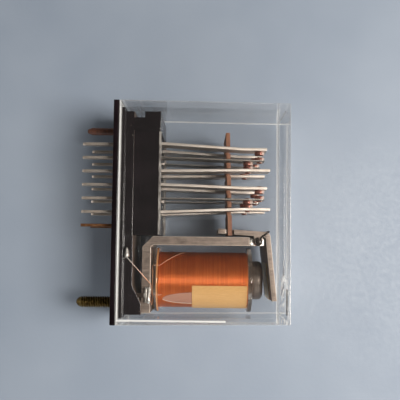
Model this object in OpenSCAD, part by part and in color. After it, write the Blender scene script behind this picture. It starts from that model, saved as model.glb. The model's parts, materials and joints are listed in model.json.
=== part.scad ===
// Plug-in relay with two pairs of changeover contacts under a clear dust cover.
// X runs from the mounting face to the top of the cover, Y across the rows of pins,
// and Z through the thickness. The origin is the middle of the mounting face.

/* [Base] */
// Length of the base flange, across the rows of pins
base_len = 40; // [40:0.5:44]
// Width of the base flange, which is the thickness of the relay
base_wid = 19.5; // [19.5:0.5:23]
// Thickness of the base flange
flange_t = 1.0; // [0.8:0.1:1.4]
// Height of the rim that the cover fits over
rim_h = 1.0; // [0.8:0.1:1.2]
// Height above the flange of the floor that the spring block stands on
floor_h = 2.6; // [2.5:0.1:2.8]
// Height above the flange of the foot that the yoke stands on
foot_h = 4.2; // [4.0:0.1:4.6]
// Height above the flange of the post at the end of the base
post_h = 7.4; // [6.5:0.1:8.5]
// Depth of the notch in that post
notch_depth = 1.1; // [0.6:0.1:1.5]
// Width of the notch
notch_w = 1.85; // [1:0.05:2.4]

/* [Pins] */
// Distance from one spring, or pin, to the next
pitch = 2.5; // [2.4:0.01:2.54]
// Distance between the middles of the two columns of springs
column_gap = 10; // [9.6:0.1:10.2]
// Length of the pins below the mounting face
pin_len = 6.2; // [4:0.1:8]
// Width of a pin
pin_w = 1.6; // [1.2:0.1:2]
// Diameter of the guide peg
peg_d = 1.44; // [1.2:0.02:1.8]
// Length of the guide peg below the mounting face
peg_len = 6.3; // [4:0.1:8]
// Outer diameter of the fixing stud's thread
stud_d = 2.2; // [2:0.1:2.5]
// Length of the fixing stud below the mounting face
stud_len = 7.8; // [6:0.1:10]

/* [Contact springs] */
// Height of the spring block above the floor of the base
block_h = 4.5; // [3.5:0.1:5.5]
// Width of every contact spring
spring_w = 4; // [3.6:0.1:4.2]
// Thickness of the fixed springs and of the pins
spring_t = 0.5; // [0.4:0.02:0.56]
// Thickness of the moving blades
blade_t = 0.2; // [0.15:0.01:0.3]
// Distance from the block's face to the make contacts, near the tips
make_reach = 18.4; // [17.5:0.1:18.8]
// Distance from the block's face to the break contacts
break_reach = 16.3; // [15.5:0.1:16.4]
// Diameter of a contact head
head_d = 1.8; // [1.4:0.05:1.9]
// Height of a contact head
head_h = 0.7; // [0.5:0.02:0.72]
// Opening of the make contacts at rest
make_gap = 0.33; // [0.2:0.01:0.4]

/* [Comb] */
// Thickness of the comb card
comb_t = 0.75; // [0.5:0.05:0.9]
// Width of the comb card
comb_w = 12.6; // [12:0.1:13]
// Lean of the comb towards the base, in degrees
comb_lean = 1.6; // [0:0.1:2]

/* [Magnet] */
// Thickness of the yoke
yoke_t = 1.6; // [1.4:0.05:1.8]
// Length of the winding
winding_len = 16.5; // [15.5:0.1:17]
// Outer diameter of the winding
winding_d = 10.46; // [9.5:0.02:10.8]
// Diameter of the bobbin's end flanges
bobbin_d = 12; // [11.6:0.1:12.2]
// Thickness of the bobbin's end flanges
bobbin_flange_t = 0.8; // [0.6:0.05:1]
// Diameter of the iron core
core_d = 5; // [4:0.1:5.4]
// Diameter of the core's pole head
pole_d = 7.2; // [6:0.1:8]
// Thickness of the pole head
pole_t = 1.9; // [1.5:0.1:2.2]
// Thickness of the armature
armature_t = 0.9; // [0.7:0.05:1]
// Width of the armature, over its ears
armature_w = 14; // [13.4:0.1:14.2]
// Length of the armature's leg, from the hinge down past the pole
leg_len = 10.9; // [9.5:0.1:11.5]
// Length of the armature's arm, from the hinge to its tip
arm_len = 7.3; // [6.8:0.1:8]
// Angle in degrees that the armature stands open at rest
armature_open = 5.9; // [4.5:0.1:6.2]
// Tilt in degrees of the armature's arm at rest
arm_rise = 3.5; // [3:0.1:4]
// Diameter of the hinge pin
hinge_pin_d = 0.9; // [0.8:0.02:1]
// Diameter of the coil's lead wire
lead_d = 0.2; // [0.12:0.02:0.24]

/* [Cover] */
// Height of the cover above the flange
cover_h = 30.7; // [30.4:0.1:34]
// Thickness of the cover's walls
wall = 1.0; // [0.8:0.1:1.2]
// Taper of the cover's two end walls, in degrees
draft = 0.74; // [0:0.02:0.9]

/* [Hidden] */
$fn = 48;
// Rows of springs in a column, and turns drawn in the winding's outer layer
rows = 6;
turns = 24;
// Clearances: a fixed fit, a running fit, contacts that close, and the cover over what is in it
fixed_fit = 0.02;
running_fit = 0.03;
closed_gap = 0.02;
rim_fit = 0.1;
cover_gap = 0.2;
// Clearance of pieces that pass each other without touching
pass_gap = 0.15;
// Depth by which joined shapes run into each other, and by which cuts run past a face
overlap = 0.1;
past = 1;

// Places along X
floor_x = flange_t + floor_h;
foot_x = flange_t + foot_h;
block_x = floor_x + block_h;
// A pin widens to its root above the floor, and a blade's root ends above the block
shoulder_h = 0.6;
stub_h = 0.4;
shoulder_x = floor_x + shoulder_h;
stub_x = block_x + stub_h;
leg_x = foot_x + yoke_t;
hub_h = 0.4;
hub_gap = 0.02;
winding_x = leg_x + hub_h + bobbin_flange_t;
bobbin_end_x = winding_x + winding_len + bobbin_flange_t;
neck_gap = 0.2;
pole_x = bobbin_end_x + neck_gap + pole_t;
pivot_reach = 1.24;
pivot_x = pole_x - pivot_reach;
make_x = block_x + make_reach;
break_x = block_x + break_reach;
// The cover's height is stated for this length of winding, and it follows another one
standard_winding_len = 16.5;
full_cover_h = cover_h + winding_len - standard_winding_len;
cover_top_x = flange_t + full_cover_h;
blade_x = stub_x + fixed_fit;

// Places along Y, built up from the coil's end of the cover
cover_taper = full_cover_h * tan(draft);
coil_y = -(base_len / 2 - wall - cover_taper - cover_gap - bobbin_d / 2);
coil_room = 0.5;
yoke_y = coil_y + bobbin_d / 2 + coil_room + yoke_t;
pivot_y = yoke_y - yoke_t / 2;
// Margins of the spring block: to the yoke, and past its first and last rows
block_gap = 0.1;
block_margin = 4.3;
block_end_margin = 2.1;
block_y = yoke_y + block_gap;
post_y = block_y + block_margin + (rows - 1) * pitch + block_end_margin;
block_end_y = post_y - fixed_fit;
// The post ends short of the cover's wall, and the peg stands in it
post_clear = 0.75;
peg_inset = 2.35;
post_end_y = base_len / 2 - wall - post_clear;
peg_y = post_end_y - peg_inset;
// The bobbin's hub and the stud's riveted head lie side by side on the yoke's leg
hub_r = core_d / 2 + fixed_fit + 0.33;
stud_head_r = stud_d / 2 + 0.3;
stud_y = coil_y - hub_r - pass_gap - stud_head_r;
// The foot is flat to a little past the stud, then slopes down to the floor
foot_flat = 0.4;
foot_slope = 3.2;
foot_top_y = stud_y + foot_flat;
foot_start_y = foot_top_y + foot_slope;
leg_end_y = stud_y - stud_head_r;
function root_y(row) = block_y + block_margin + (rows - 1 - row) * pitch;

// Half widths along Z
cover_in_z = base_wid / 2 - wall;
rim_z = cover_in_z - rim_fit;
block_inset = 0.55;
pedestal_inset = 1.45;
block_z = cover_in_z - block_inset;
pedestal_z = cover_in_z - pedestal_inset;
ear_t = 0.5;
ear_gap = 0.2;
yoke_z = armature_w / 2 - ear_t - ear_gap;
column_z = column_gap / 2;

// Bearing at the yoke's end, from the pivot, and the core's neck in the yoke's leg
bearing_back = 1.5;
bearing_front = 1.1;
core_neck_d = 3.4;
stud_neck_d = stud_d - 0.4;
// Thicker shanks that hold the stud and the peg in the base
shank_step = 0.2;

// Contact levels: each set of three springs meets at the level of its moving blade
blade_drop = [0.48, 0.08];
function blade_y(set) = root_y(3 * set + 1) - blade_drop[set];
function make_y(set) =
    blade_y(set) + blade_t / 2 + 2 * head_h + make_gap + spring_t / 2;
function break_y(set) =
    blade_y(set) - blade_t / 2 - 2 * head_h - closed_gap - spring_t / 2;
shank_d = 0.8;
tail_d = 1.1;
tail_h = 0.25;
// The strips run flat from before the break contacts to their tips past the contacts
flat_before = 1.3;
make_tip = 1.2;
break_tip = 3.9;
blade_tip = 0.8;
flat_start_x = break_x - flat_before;
root_straight = 0.6;
// Length and share of the height of the bend between a strip's slanting and flat lengths
bend_len = 1;
bend_share = 0.08;
// Length of the point at a pin's tip
pin_point = 0.8;

// Motion of the armature, the comb and the blades, in degrees and millimetres
shim_t = 0.12;
shim_gap = 0.05;
leg_reach = pivot_reach + shim_t + shim_gap;
arm_clear = 0.96;
ear_r = 0.8;
// Centre of the bend between the armature's arm and leg, from the pivot
bend_y = (arm_clear - leg_reach / cos(armature_open) * sin(arm_rise))
    / (cos(arm_rise) - tan(armature_open) * sin(arm_rise));
bend_x = (leg_reach - bend_y * sin(armature_open)) / cos(armature_open);
// Wire bail round the ends of the hinge pin
bail_r = 0.16;
bail_ring_r = 0.72;
bail_ring_t = 0.3;
bail_gap = 0.05;
bail_side = bail_ring_t + bail_gap + 0.2;
bail_angle = 55;
armature_travel = armature_open - 0.1;
comb_reach = 5.3;
comb_x = pivot_x - comb_reach;
comb_foot_gap = 0.25;
comb_top = 3.1;
comb_y = yoke_y + comb_foot_gap;
comb_end_y = make_y(0) + comb_top;
comb_mid_y = (comb_y + comb_end_y) / 2;
function comb_x_at(y) = comb_x - (y - comb_mid_y) * tan(comb_lean);
function arm_top(angle, reach) =
    (arm_clear + armature_t) / cos(angle) + reach * tan(angle);
arm_y = pivot_y + arm_top(arm_rise, comb_reach);
seat_reach = pivot_x - comb_x_at(arm_y) + comb_t / 2;
comb_lift = arm_top(arm_rise + armature_travel, seat_reach)
    - arm_top(arm_rise, seat_reach);
blade_travel = atan((make_gap - closed_gap) / (make_x - blade_x));
function blade_lift(x) = (x - blade_x) * tan(blade_travel);
echo(armature_travel = armature_travel, comb_lift = comb_lift, blade_travel = blade_travel);
echo(pivot = [pivot_x, pivot_y], blade_x = blade_x, blade_root_y = [root_y(1), root_y(4)]);

// Coil: radii, lead holes in the bobbin and the tags that the leads are soldered to
tube_d = 0.26;
layer_r = winding_d / 2 - tube_d / 2;
// Wall of the drum that the wire is wound on
drum_t = 0.6;
// The helix is drawn with this many straight lengths a turn, and the bulk stays inside them
rings = 24;
bulk_r = layer_r * cos(180 / rings) - tube_d / 2 - fixed_fit;
lead_r = lead_d / 2;
lead_hole_d = lead_d + 0.14;
lead_rim = 0.36;
lead_hole_r = bobbin_d / 2 - lead_rim;
start_angle = 27.5;
finish_angle = -30;
coil_pin_y = root_y(rows);
bar_x = floor_x - 1.3;
bar_t = 0.6;
start_bar_len = 4.9;
start_tag_y = coil_pin_y - start_bar_len;
start_tag_z = pedestal_z + 0.7;
finish_bar_y = stud_y + stud_d / 2 + 0.8;
finish_tag_x = leg_x + 0.05;
finish_tag_z = armature_w / 2 - 0.25;
finish_tag_t = 0.35;
finish_tag_w = 2.8;
finish_tag_h = 1;
bar_w = 0.8;

// A box from its lowest corner to its highest
module span(low, high) {
    translate(low) cube(high - low);
}

// A shape drawn in X and Y, carried through the thickness to both sides
module slab(half_z) {
    translate([0, 0, -half_z]) linear_extrude(2 * half_z) children();
}

// A turned piece along X, from points of radius and X
module turned(points) {
    rotate([90, 0, 90]) rotate_extrude() polygon(points);
}

// Both sides of the relay, the second a mirror image
module both_sides() {
    for (side = [0, 1]) mirror([0, 0, side]) children();
}

// Front column at +Z, back column at -Z
module in_column(back) {
    translate([0, 0, back ? -column_z : column_z]) children();
}

// The flat pin and root of a spring, drawn in X and Z at one level, grown by a clearance
module root_strip(row, end_x, grow = 0) {
    half_pin = pin_w / 2 + grow;
    half_root = spring_w / 2 + grow;
    thick = spring_t + 2 * grow;
    tip = -pin_len - grow;
    point = tip + pin_point;
    translate([0, root_y(row) + thick / 2, 0]) rotate([90, 0, 0])
        linear_extrude(thick) polygon([
            [tip, -half_pin / 2], [point, -half_pin],
            [shoulder_x - grow, -half_pin], [shoulder_x - grow, -half_root],
            [end_x, -half_root], [end_x, half_root],
            [shoulder_x - grow, half_root], [shoulder_x - grow, half_pin],
            [point, half_pin], [tip, half_pin / 2]
        ]);
}

// Where a strip's slanting length ends and its bend to the flat end starts
strip_bend_x = flat_start_x - bend_len;
function strip_bend_y(y, end_y) = end_y + (y - end_y) * bend_share;

// Edge view of a strip that starts straight at one level and ends flat at another
module strip_profile(x, y, end_x, end_y, thick) {
    line = [
        [x, y], [x + root_straight, y],
        [strip_bend_x, strip_bend_y(y, end_y)], [flat_start_x, end_y], [end_x, end_y]
    ];
    upper = [for (p = line) p + [0, thick / 2]];
    lower = [for (i = [len(line) - 1:-1:0]) line[i] - [0, thick / 2]];
    polygon(concat(upper, lower));
}

// Height of a strip's middle where it passes the comb
function strip_y(x, y, end_y) =
    let (start_x = x + root_straight)
    y + (strip_bend_y(y, end_y) - y) * (comb_x_at(y) - start_x) / (strip_bend_x - start_x);

// Hole in a spring for a contact's shank
module shank_hole(x, y) {
    translate([x, y, 0]) rotate([90, 0, 0])
        cylinder(h = 2, d = shank_d + 2 * fixed_fit, center = true);
}

// A riveted contact on a strip: head on the side that up points to, tail on the other
module contact(x, y, thick, up) {
    bevel = 0.12;
    top = thick / 2 + head_h;
    bottom = -thick / 2 - tail_h;
    translate([x, y, 0]) mirror([0, up ? 0 : 1, 0]) rotate([-90, 0, 0]) rotate_extrude()
        polygon([
            [0, bottom], [tail_d / 2 - bevel, bottom],
            [tail_d / 2, bottom + bevel], [tail_d / 2, -thick / 2],
            [shank_d / 2, -thick / 2], [shank_d / 2, thick / 2],
            [head_d / 2, thick / 2], [head_d / 2, top - bevel],
            [head_d / 2 - bevel, top], [0, top]
        ]);
}

module make_spring(set, back) {
    color("tan") in_column(back) difference() {
        union() {
            root_strip(3 * set, stub_x);
            slab(spring_w / 2) strip_profile(
                block_x, root_y(3 * set), make_x + make_tip, make_y(set), spring_t);
        }
        shank_hole(make_x, make_y(set));
    }
}

module break_spring(set, back) {
    color("tan") in_column(back) difference() {
        union() {
            root_strip(3 * set + 2, stub_x);
            slab(spring_w / 2) strip_profile(
                block_x, root_y(3 * set + 2), break_x + break_tip, break_y(set), spring_t);
        }
        shank_hole(break_x, break_y(set));
    }
}

module blade_pin(set, back) {
    color("tan") in_column(back) root_strip(3 * set + 1, stub_x);
}

module blade(set, back) {
    color("wheat") in_column(back) difference() {
        slab(spring_w / 2) strip_profile(
            blade_x, root_y(3 * set + 1), make_x + blade_tip, blade_y(set), blade_t);
        shank_hole(make_x, blade_y(set));
        shank_hole(break_x, blade_y(set));
    }
}

module make_contacts() {
    color("rosybrown") for (set = [0, 1], back = [false, true])
        in_column(back) contact(make_x, make_y(set), spring_t, false);
}

module break_contacts() {
    color("rosybrown") for (set = [0, 1], back = [false, true])
        in_column(back) contact(break_x, break_y(set), spring_t, true);
}

// The blade's two contacts: the make contact on top and the break contact below
module blade_contacts(set, back) {
    color("rosybrown") in_column(back) {
        contact(make_x, blade_y(set), blade_t, true);
        contact(break_x, blade_y(set), blade_t, false);
    }
}

// The coil's start pin, which jogs through the base to a tag at its front side
module start_pin_shape(grow = 0) {
    g = [grow, grow, grow];
    span([-pin_len, coil_pin_y - spring_t / 2, column_z - pin_w / 2] - g,
        [bar_x + bar_t, coil_pin_y + spring_t / 2, column_z + pin_w / 2] + g);
    span([bar_x, start_tag_y - bar_w / 2, column_z - bar_w / 2] - g,
        [bar_x + bar_t, coil_pin_y, column_z + bar_w / 2] + g);
    span([bar_x, start_tag_y - bar_w / 2, column_z] - g,
        [bar_x + bar_t, start_tag_y + bar_w / 2, start_tag_z] + g);
}

// The coil's finish pin, whose bar crosses the base to a tag that stands beside the yoke
module finish_pin_shape(grow = 0) {
    g = [grow, grow, grow];
    span([-pin_len, coil_pin_y - spring_t / 2, -column_z - pin_w / 2] - g,
        [bar_x + bar_t, coil_pin_y + spring_t / 2, -column_z + pin_w / 2] + g);
    span([bar_x, finish_bar_y - bar_w / 2, -column_z - bar_w / 2] - g,
        [bar_x + bar_t, coil_pin_y, -column_z + bar_w / 2] + g);
    span([bar_x, finish_bar_y - bar_w / 2, -column_z] - g,
        [bar_x + bar_t, finish_bar_y + bar_w / 2, finish_tag_z + finish_tag_t] + g);
    span([bar_x, finish_bar_y - bar_w / 2, finish_tag_z] - g,
        [finish_tag_x, finish_bar_y + bar_w / 2, finish_tag_z + finish_tag_t] + g);
    span([finish_tag_x - finish_tag_h, finish_bar_y - finish_tag_w / 2, finish_tag_z] - g,
        [finish_tag_x, finish_bar_y + finish_tag_w / 2, finish_tag_z + finish_tag_t] + g);
}

module coil_pin_start() {
    color("peru") start_pin_shape();
}

module coil_pin_finish() {
    // Slit across the tag, where the lead is hooked in
    slit_rim = 0.35;
    slit_w = 0.2;
    slit_x = finish_tag_x - 0.65;
    slit_y = finish_tag_w / 2 - slit_rim;
    color("peru") difference() {
        finish_pin_shape();
        span([slit_x, finish_bar_y - slit_y, finish_tag_z - past],
            [slit_x + slit_w, finish_bar_y + slit_y, finish_tag_z + finish_tag_t + past]);
    }
}

module base() {
    half = base_len / 2;
    rim_y = half - wall - rim_fit - (rim_h + rim_fit) * tan(draft);
    pedestal_y = half - wall - cover_taper - cover_gap;
    color("#1c1817") difference() {
        union() {
            span([0, -half, -base_wid / 2], [flange_t, half, base_wid / 2]);
            span([0, -rim_y, -rim_z], [flange_t + rim_h, rim_y, rim_z]);
            span([0, block_y, -block_z], [floor_x, post_end_y, block_z]);
            span([0, post_y, -block_z], [flange_t + post_h, post_end_y, block_z]);
            slab(pedestal_z) polygon([
                [0, -pedestal_y], [foot_x, -pedestal_y], [foot_x, foot_top_y],
                [floor_x, foot_start_y], [floor_x, block_y + overlap], [0, block_y + overlap]
            ]);
        }
        span([floor_x, post_end_y - notch_depth, -base_wid],
            [floor_x + notch_w, base_len, base_wid]);
        for (row = [0:rows - 1], back = [false, true])
            in_column(back) root_strip(row, block_x, fixed_fit);
        start_pin_shape(fixed_fit);
        finish_pin_shape(fixed_fit);
        translate([-past, peg_y, 0]) rotate([0, 90, 0])
            cylinder(h = floor_x + past, d = peg_d + 2 * (shank_step + fixed_fit));
        translate([-past, stud_y, 0]) rotate([0, 90, 0])
            cylinder(h = foot_x + 2 * past, d = stud_d + 2 * (shank_step + fixed_fit));
    }
}

module spring_block() {
    color("#241d1c") difference() {
        span([floor_x, block_y, -block_z], [block_x, block_end_y, block_z]);
        for (row = [0:rows - 1], back = [false, true])
            in_column(back) root_strip(row, block_x + past, fixed_fit);
    }
}

// Narrow strips along the block's long edges, outside the springs
module block_edge_strips() {
    strip_w = 0.75;
    strip_t = 0.42;
    inner = block_z - strip_w - 0.05;
    start_y = block_y + 0.2;
    end_y = block_end_y - 0.1;
    slant = 0.8;
    color("darkgray") both_sides()
        translate([0, 0, inner]) rotate([0, 90, 0]) translate([0, 0, block_x])
        linear_extrude(strip_t) polygon([
            [-strip_w, start_y], [0, start_y], [0, end_y - slant], [-strip_w, end_y]
        ]);
}

module guide_peg() {
    r = peg_d / 2;
    point = 0.9;
    end_x = floor_x - 0.4;
    color("saddlebrown") translate([0, peg_y, 0]) turned([
        [0, -peg_len], [r / 2, -peg_len], [r, -peg_len + point], [r, 0],
        [r + shank_step, 0], [r + shank_step, end_x], [0, end_x]
    ]);
}

// The stud holds the base to the yoke: its neck is screwed through the yoke's leg and riveted
module fixing_stud() {
    r = stud_d / 2;
    neck_r = stud_neck_d / 2;
    tip = 1.4;
    head_h = 0.3;
    arc = [for (a = [0:10:80]) [r * sin(a), -stud_len + tip - tip * cos(a)]];
    color("#5a4a2c") translate([0, stud_y, 0]) turned(concat(
        arc,
        [
            [r, -stud_len + tip], [r, 0], [r + shank_step, 0], [r + shank_step, foot_x],
            [neck_r, foot_x], [neck_r, leg_x],
            [stud_head_r, leg_x], [stud_head_r, leg_x + head_h / 2],
            [stud_head_r - 0.2, leg_x + head_h], [0, leg_x + head_h]
        ]
    ));
}

module yoke() {
    end_x = pivot_x - bearing_back;
    inner_y = yoke_y - yoke_t;
    bevel = 1.9;
    inner_bevel = 0.4;
    color("#8f877c") difference() {
        slab(yoke_z) polygon([
            [foot_x, leg_end_y], [leg_x, leg_end_y], [leg_x, inner_y - inner_bevel],
            [leg_x + inner_bevel, inner_y], [end_x, inner_y], [end_x, yoke_y],
            [foot_x + bevel, yoke_y], [foot_x, yoke_y - bevel]
        ]);
        translate([foot_x - past, coil_y, 0]) rotate([0, 90, 0])
            cylinder(h = yoke_t + 2 * past, d = core_neck_d + 2 * fixed_fit);
        translate([foot_x - past, stud_y, 0]) rotate([0, 90, 0])
            cylinder(h = yoke_t + 2 * past, d = stud_neck_d + 2 * fixed_fit);
    }
}

// Bar at the yoke's end that carries the hinge pin
module hinge_bearing() {
    low = pivot_y - yoke_t / 2;
    high = pivot_y + 0.65;
    front = pivot_x + bearing_front;
    back = pivot_x - bearing_back;
    bevel = 0.25;
    groove = back + 0.4;
    groove_end = groove + 0.15;
    groove_low = high - 0.3;
    color("silver") difference() {
        slab(yoke_z) polygon([
            [back, low], [front, low], [front, high - bevel], [front - bevel, high],
            [groove_end, high], [groove_end, groove_low], [groove, groove_low],
            [groove, high], [back, high]
        ]);
        translate([pivot_x, pivot_y, 0])
            cylinder(h = base_wid, d = hinge_pin_d + 2 * fixed_fit, center = true);
    }
}

module hinge_pin() {
    color("dimgray") translate([pivot_x, pivot_y, 0])
        cylinder(h = armature_w + 2 * bail_side, d = hinge_pin_d, center = true);
}

// Place and turn of the armature's arm and of its leg, from the pivot
module on_arm() {
    rotate([0, 0, -arm_rise]) children();
}
module on_leg() {
    rotate([0, 0, armature_open]) children();
}

module armature() {
    half = armature_w / 2;
    neck_z = comb_w / 2 - 1.7;
    notch_x = comb_x_at(arm_y) - pivot_x;
    notch_half = comb_t / 2 + 0.35;
    ear_root = arm_clear + 0.4;
    color("#9a9186") translate([pivot_x, pivot_y, 0]) difference() {
        union() {
            slab(half) {
                on_arm() translate([-arm_len, arm_clear])
                    square([arm_len + bend_x, armature_t]);
                on_leg() translate([leg_reach, -leg_len])
                    square([armature_t, leg_len + bend_y]);
                intersection() {
                    translate([bend_x, bend_y]) circle(armature_t);
                    translate([bend_x, bend_y] - 2 * [overlap, overlap]) square(2);
                }
            }
            both_sides() translate([0, 0, half - ear_t]) linear_extrude(ear_t) {
                circle(ear_r);
                on_arm() translate([-ear_r, 0]) square([2 * ear_r, ear_root]);
            }
        }
        cylinder(h = base_wid, d = hinge_pin_d + 2 * running_fit, center = true);
        both_sides() translate([notch_x, arm_clear, neck_z])
            translate([-notch_half, -past, 0]) cube([2 * notch_half, 4 * past, half]);
    }
}

// Thin plate that keeps the attracted armature off the pole
module armature_shim() {
    color("khaki") translate([pivot_x, pivot_y, -pole_d / 2]) on_leg()
        translate([leg_reach - shim_t, coil_y - pivot_y - pole_d / 2, 0])
        cube([shim_t, pole_d - 0.4, pole_d]);
}

// Wire bail over the armature's bend, ringed round both ends of the hinge pin
module armature_bail() {
    out = armature_t + bail_r + bail_gap;
    corner = [bend_x + out * cos(bail_angle), bend_y + out * sin(bail_angle)];
    wire_z = armature_w / 2 + bail_gap + bail_ring_t / 2;
    turn = atan2(corner.y, corner.x);
    reach = norm(corner);
    ring_z = armature_w / 2 + bail_gap;
    color("#2b2522") translate([pivot_x, pivot_y, 0]) {
        translate([corner.x, corner.y, 0]) cylinder(h = 2 * wire_z, r = bail_r, center = true);
        both_sides() {
            translate([corner.x, corner.y, wire_z]) sphere(r = bail_r);
            difference() {
                union() {
                    translate([0, 0, ring_z]) cylinder(h = bail_ring_t, r = bail_ring_r);
                    translate([0, 0, wire_z]) rotate([0, 0, turn]) rotate([0, 90, 0])
                        cylinder(h = reach, r = bail_r - 0.02);
                }
                cylinder(h = base_wid, d = hinge_pin_d + 2 * running_fit, center = true);
            }
        }
    }
}

module core() {
    r = core_d / 2;
    neck = core_neck_d / 2;
    pole = pole_d / 2;
    round = 0.7;
    // Riveted end of the neck, behind the yoke's leg
    rivet = neck + 0.5;
    rivet_x = foot_x - 0.5;
    bevel = 0.2;
    edge = [for (a = [0:15:90])
        [pole - round + round * cos(a), pole_x - round + round * sin(a)]];
    color("#7d7268") translate([0, coil_y, 0]) turned(concat(
        [
            [0, rivet_x], [rivet - bevel, rivet_x], [rivet, rivet_x + bevel],
            [rivet, foot_x - fixed_fit], [neck, foot_x - fixed_fit],
            [neck, leg_x], [r, leg_x], [r, pole_x - pole_t], [pole, pole_x - pole_t]
        ],
        edge,
        [[0, pole_x]]
    ));
}

// Angle round the coil's axis: 0 points to +Z and 90 to -Y
module round_coil(angle) {
    translate([0, coil_y, 0]) rotate([angle, 0, 0]) children();
}

module bobbin() {
    bore = core_d / 2 + fixed_fit;
    drum = bore + drum_t;
    flange = bobbin_d / 2;
    color("antiquewhite") difference() {
        translate([0, coil_y, 0]) turned([
            [bore, leg_x + hub_gap], [hub_r, leg_x + hub_gap],
            [hub_r, leg_x + hub_h], [flange, leg_x + hub_h],
            [flange, winding_x], [drum, winding_x],
            [drum, winding_x + winding_len], [flange, winding_x + winding_len],
            [flange, bobbin_end_x], [bore, bobbin_end_x]
        ]);
        for (angle = [start_angle, finish_angle])
            round_coil(angle) translate([leg_x, 0, lead_hole_r]) rotate([0, 90, 0])
                cylinder(h = winding_x - leg_x + 0.5, d = lead_hole_d);
    }
}

module winding_bulk() {
    inner = core_d / 2 + drum_t + 2 * fixed_fit;
    color("#8a3d14") translate([winding_x + fixed_fit, coil_y, 0]) rotate([0, 90, 0])
        difference() {
            cylinder(h = winding_len - 2 * fixed_fit, r = bulk_r);
            translate([0, 0, -past]) cylinder(h = winding_len + 2 * past, r = inner);
        }
}

// A tube along a path: each ring starts from a side direction and has six points
sides = 6;
function unit(v) = v / norm(v);
function tangent(path, i) =
    unit(path[min(i + 1, len(path) - 1)] - path[max(i - 1, 0)]);
function carried_sides(path, side, i = 0) =
    i == len(path) ? [] :
    let (t = tangent(path, i), next = unit(side - (side * t) * t))
    concat([next], carried_sides(path, next, i + 1));
function tube_points(path, side, d) = [
    for (i = [0:len(path) - 1], k = [0:sides - 1])
        let (a = k * 360 / sides, across = cross(side[i], tangent(path, i)))
        path[i] + d / 2 * (cos(a) * side[i] + sin(a) * across)];
function tube_faces(count) = concat(
    [for (i = [0:count - 2], k = [0:sides - 1])
        [i * sides + k, i * sides + (k + 1) % sides, (i + 1) * sides + (k + 1) % sides]],
    [for (i = [0:count - 2], k = [0:sides - 1])
        [i * sides + k, (i + 1) * sides + (k + 1) % sides, (i + 1) * sides + k]],
    [[for (k = [sides - 1:-1:0]) k]],
    [[for (k = [0:sides - 1]) (count - 1) * sides + k]]);
module tube(path, side, d) {
    polyhedron(tube_points(path, side, d), tube_faces(len(path)), convexity = 10);
}

// The outer layer: one unbroken helix of wire, drawn thicker and with fewer turns than real
helix_margin = 0.3;
turn_pitch = (winding_len - 2 * helix_margin) / turns;
last_ring = turns * rings;
function helix_point(i) =
    let (a = i * 360 / rings)
    [winding_x + helix_margin + turn_pitch * i / rings,
     coil_y - layer_r * sin(a), layer_r * cos(a)];
function straight_end(i, step) =
    helix_point(i) + unit(helix_point(i) - helix_point(i - step)) * tube_d;
helix_path = concat(
    [straight_end(0, -1)],
    [for (i = [0:last_ring]) helix_point(i)],
    [straight_end(last_ring, 1)]);
helix_sides = [for (p = helix_path) unit([0, p.y - coil_y, p.z])];
// Least gap of the helix to itself, over points half a turn to one and a half turns apart
helix_gap = min([for (i = [1:last_ring + 1], j = [i + rings / 2:i + 3 * rings / 2])
    if (j <= last_ring + 1) norm(helix_path[i] - helix_path[j])]) - tube_d;
echo(least_gap_of_winding = helix_gap);

module winding_outer_layer() {
    color("#c8642a") tube(helix_path, helix_sides, tube_d);
}

// Paper label wrapped round the free end of the winding
module coil_label() {
    inner = winding_d / 2 + fixed_fit;
    paper_t = 0.09;
    label_len = 10.1;
    first_edge = 189;
    wrap = 135;
    color("#e0a850") translate([winding_x + winding_len - label_len - 0.1, coil_y, 0])
        rotate([0, 90, 0]) rotate([0, 0, first_edge]) rotate_extrude(angle = wrap)
        translate([inner, 0]) square([paper_t, label_len]);
}

// A point near the coil: X, distance from its axis, and angle as in round_coil
function coil_point(x, r, angle) = [x, coil_y - r * sin(angle), r * cos(angle)];
behind_flange = leg_x + hub_h - lead_r - 0.05;
on_winding_r = winding_d / 2 + lead_r + 0.03;

// Behind the flange the finish lead loops round the core, and it ends along the winding
lead_loop_r = 0.375 * bobbin_d;
finish_lead_len = winding_len * 0.2424;

start_route = [
    [bar_x + bar_t / 2, start_tag_y - 0.8, start_tag_z - 0.1],
    [behind_flange - 0.05, coil_y - 0.55, pedestal_z + 0.1],
    coil_point(behind_flange, bobbin_d / 2 + 0.7, 17),
    coil_point(behind_flange, lead_hole_r, start_angle),
    coil_point(winding_x + 0.3, lead_hole_r, start_angle),
    coil_point(winding_x + 0.7, on_winding_r, start_angle + 1)
];
finish_route = concat(
    [
        [finish_tag_x - 0.2, finish_bar_y - 0.9, finish_tag_z + finish_tag_t + 0.12],
        [behind_flange, finish_bar_y - 1.1, finish_tag_z + finish_tag_t + 0.12],
        [behind_flange, finish_bar_y - 1.75, finish_tag_z - 0.1],
        coil_point(behind_flange, bobbin_d / 2 + 0.2, 44),
        coil_point(behind_flange, lead_loop_r + 0.1, 38),
        coil_point(behind_flange, lead_loop_r, 12),
        coil_point(behind_flange, lead_loop_r + 0.1, -14),
        coil_point(behind_flange, lead_hole_r, finish_angle),
        coil_point(winding_x + 0.3, lead_hole_r, finish_angle)
    ],
    [for (i = [0:6]) coil_point(
        winding_x + 0.7 + finish_lead_len * i / 6, on_winding_r,
        finish_angle - 1 - 42 * i / 6)]);

module lead_start() {
    color("#d88040") tube(start_route, carried_sides(start_route, [0, 0, 1]), lead_d);
}

module lead_finish() {
    color("#d88040") tube(finish_route, carried_sides(finish_route, [0, 0, 1]), lead_d);
}

// Solder where each lead meets its tag, shaped like a spindle along Y
module spindle(half_len, r) {
    rotate([90, 0, 0]) rotate_extrude() polygon(
        [for (a = [-90:15:90]) [r * cos(a), half_len * sin(a)]]);
}

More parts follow.
